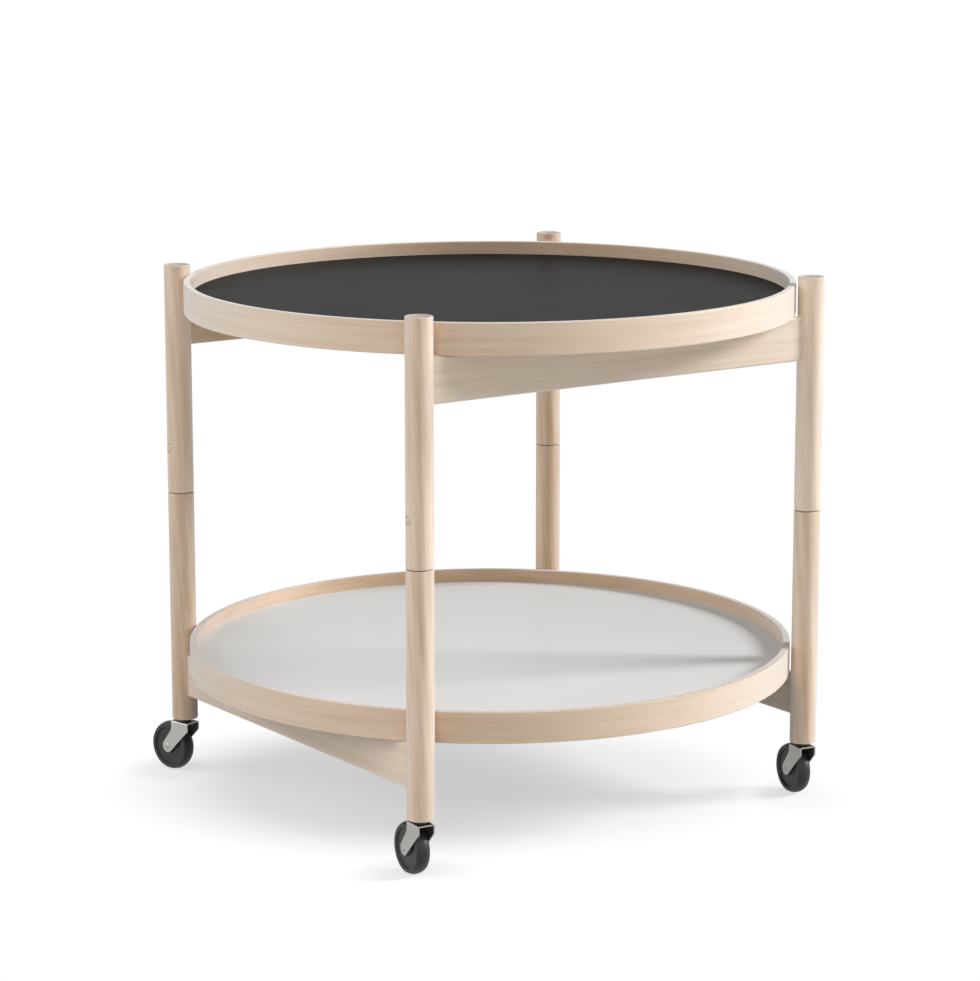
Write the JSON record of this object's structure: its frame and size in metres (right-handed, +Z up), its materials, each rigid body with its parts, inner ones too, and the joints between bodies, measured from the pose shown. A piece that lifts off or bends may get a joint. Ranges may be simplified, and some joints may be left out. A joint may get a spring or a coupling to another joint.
{
  "type": "serving trolley",
  "caption": "Folding serving trolley: round lift-off trays with laminate faces on upper and lower rails between round wooden legs that pivot at mid height, standing on swivel casters.",
  "frame": {"origin": "on the floor, below the centre of the round trays", "axes": "+Z up, +X along the upper rails from left to right, +Y along the lower rails from front to back"},
  "size_m": [0.6, 0.6, 0.523],
  "materials": {
    "beech": "soaped beech, pale and matt",
    "core_board": "thin plywood core, seen nowhere from outside",
    "black_laminate": "satin black laminate",
    "white_laminate": "satin white laminate",
    "zinc_steel": "zinc-plated pressed steel",
    "bright_steel": "turned bright steel",
    "wheel_nylon": "moulded black nylon, satin"
  },
  "bodies": {
    "lower_left_frame": {"lower_leg_front_left": "beech", "pivot_stud_front_left": "bright_steel", "caster_front_left_socket": "zinc_steel", "caster_front_left_stem": "zinc_steel", "caster_front_left_washer": "zinc_steel", "lower_leg_back_left": "beech", "pivot_stud_back_left": "bright_steel", "caster_back_left_socket": "zinc_steel", "caster_back_left_stem": "zinc_steel", "caster_back_left_washer": "zinc_steel", "lower_rail_left": "beech"},
    "lower_right_frame": {"lower_leg_front_right": "beech", "pivot_stud_front_right": "bright_steel", "caster_front_right_socket": "zinc_steel", "caster_front_right_stem": "zinc_steel", "caster_front_right_washer": "zinc_steel", "lower_leg_back_right": "beech", "pivot_stud_back_right": "bright_steel", "caster_back_right_socket": "zinc_steel", "caster_back_right_stem": "zinc_steel", "caster_back_right_washer": "zinc_steel", "lower_rail_right": "beech"},
    "upper_front_frame": {"upper_leg_front_left": "beech", "barrel_nut_front_left": "bright_steel", "upper_leg_front_right": "beech", "barrel_nut_front_right": "bright_steel", "upper_rail_front": "beech"},
    "upper_back_frame": {"upper_leg_back_left": "beech", "barrel_nut_back_left": "bright_steel", "upper_leg_back_right": "beech", "barrel_nut_back_right": "bright_steel", "upper_rail_back": "beech"},
    "upper_tray": {"upper_tray_rim": "beech", "upper_tray_core": "core_board", "upper_tray_black_laminate": "black_laminate", "upper_tray_white_laminate": "white_laminate"},
    "lower_tray": {"lower_tray_rim": "beech", "lower_tray_core": "core_board", "lower_tray_black_laminate": "black_laminate", "lower_tray_white_laminate": "white_laminate"},
    "front_left_swivel": {"caster_front_left_fork": "zinc_steel", "caster_front_left_axle": "zinc_steel", "caster_front_left_bush": "zinc_steel"},
    "front_left_wheel": {"caster_front_left_wheel": "wheel_nylon"},
    "front_right_swivel": {"caster_front_right_fork": "zinc_steel", "caster_front_right_axle": "zinc_steel", "caster_front_right_bush": "zinc_steel"},
    "front_right_wheel": {"caster_front_right_wheel": "wheel_nylon"},
    "back_left_swivel": {"caster_back_left_fork": "zinc_steel", "caster_back_left_axle": "zinc_steel", "caster_back_left_bush": "zinc_steel"},
    "back_left_wheel": {"caster_back_left_wheel": "wheel_nylon"},
    "back_right_swivel": {"caster_back_right_fork": "zinc_steel", "caster_back_right_axle": "zinc_steel", "caster_back_right_bush": "zinc_steel"},
    "back_right_wheel": {"caster_back_right_wheel": "wheel_nylon"}
  },
  "joints": [
    {"name": "fold_front_left", "type": "hinge", "parent": "lower_left_frame", "child": "upper_front_frame", "pos_m": [-0.229, -0.216, 0.2929], "axis": [0, 0, 1], "range_deg": [-0.25, 0.25]},
    {"name": "fold_back_left", "type": "hinge", "parent": "lower_left_frame", "child": "upper_back_frame", "pos_m": [-0.229, 0.216, 0.2929], "axis": [0, 0, 1], "range_deg": [-0.25, 0.25]},
    {"name": "fold_front_right", "type": "hinge", "parent": "upper_front_frame", "child": "lower_right_frame", "pos_m": [0.229, -0.216, 0.2929], "axis": [0, 0, 1], "range_deg": [-0.25, 0.25]},
    {"name": "upper_tray_lift", "type": "slide", "parent": "upper_front_frame", "child": "upper_tray", "axis": [0, 0, 1], "range_m": [0, 0.15]},
    {"name": "lower_tray_lift", "type": "slide", "parent": "lower_left_frame", "child": "lower_tray", "axis": [0, 0, 1], "range_m": [0, 0.2857]},
    {"name": "front_left_swivel", "type": "hinge", "parent": "lower_left_frame", "child": "front_left_swivel", "pos_m": [-0.229, -0.216, 0.054], "axis": [0, 0, 1], "continuous": true},
    {"name": "front_left_wheel_spin", "type": "hinge", "parent": "front_left_swivel", "child": "front_left_wheel", "pos_m": [-0.22712, -0.1981, 0.025], "axis": [0.9945, -0.1045, 0], "continuous": true},
    {"name": "back_left_swivel", "type": "hinge", "parent": "lower_left_frame", "child": "back_left_swivel", "pos_m": [-0.229, 0.216, 0.054], "axis": [0, 0, 1], "continuous": true},
    {"name": "back_left_wheel_spin", "type": "hinge", "parent": "back_left_swivel", "child": "back_left_wheel", "pos_m": [-0.23366, 0.23339, 0.025], "axis": [0.9659, 0.2588, 0], "continuous": true},
    {"name": "front_right_swivel", "type": "hinge", "parent": "lower_right_frame", "child": "front_right_swivel", "pos_m": [0.229, -0.216, 0.054], "axis": [0, 0, 1], "continuous": true},
    {"name": "front_right_wheel_spin", "type": "hinge", "parent": "front_right_swivel", "child": "front_right_wheel", "pos_m": [0.23244, -0.19833, 0.025], "axis": [0.9816, -0.1908, 0], "continuous": true},
    {"name": "back_right_swivel", "type": "hinge", "parent": "lower_right_frame", "child": "back_right_swivel", "pos_m": [0.229, 0.216, 0.054], "axis": [0, 0, 1], "continuous": true},
    {"name": "back_right_wheel_spin", "type": "hinge", "parent": "back_right_swivel", "child": "back_right_wheel", "pos_m": [0.22994, 0.23398, 0.025], "axis": [0.9986, -0.0523, 0], "continuous": true}
  ],
  "couplings": [
    {"joint": "fold_back_left", "follows": "fold_front_left", "ratio": 1},
    {"joint": "fold_front_right", "follows": "fold_front_left", "ratio": -1}
  ]
}
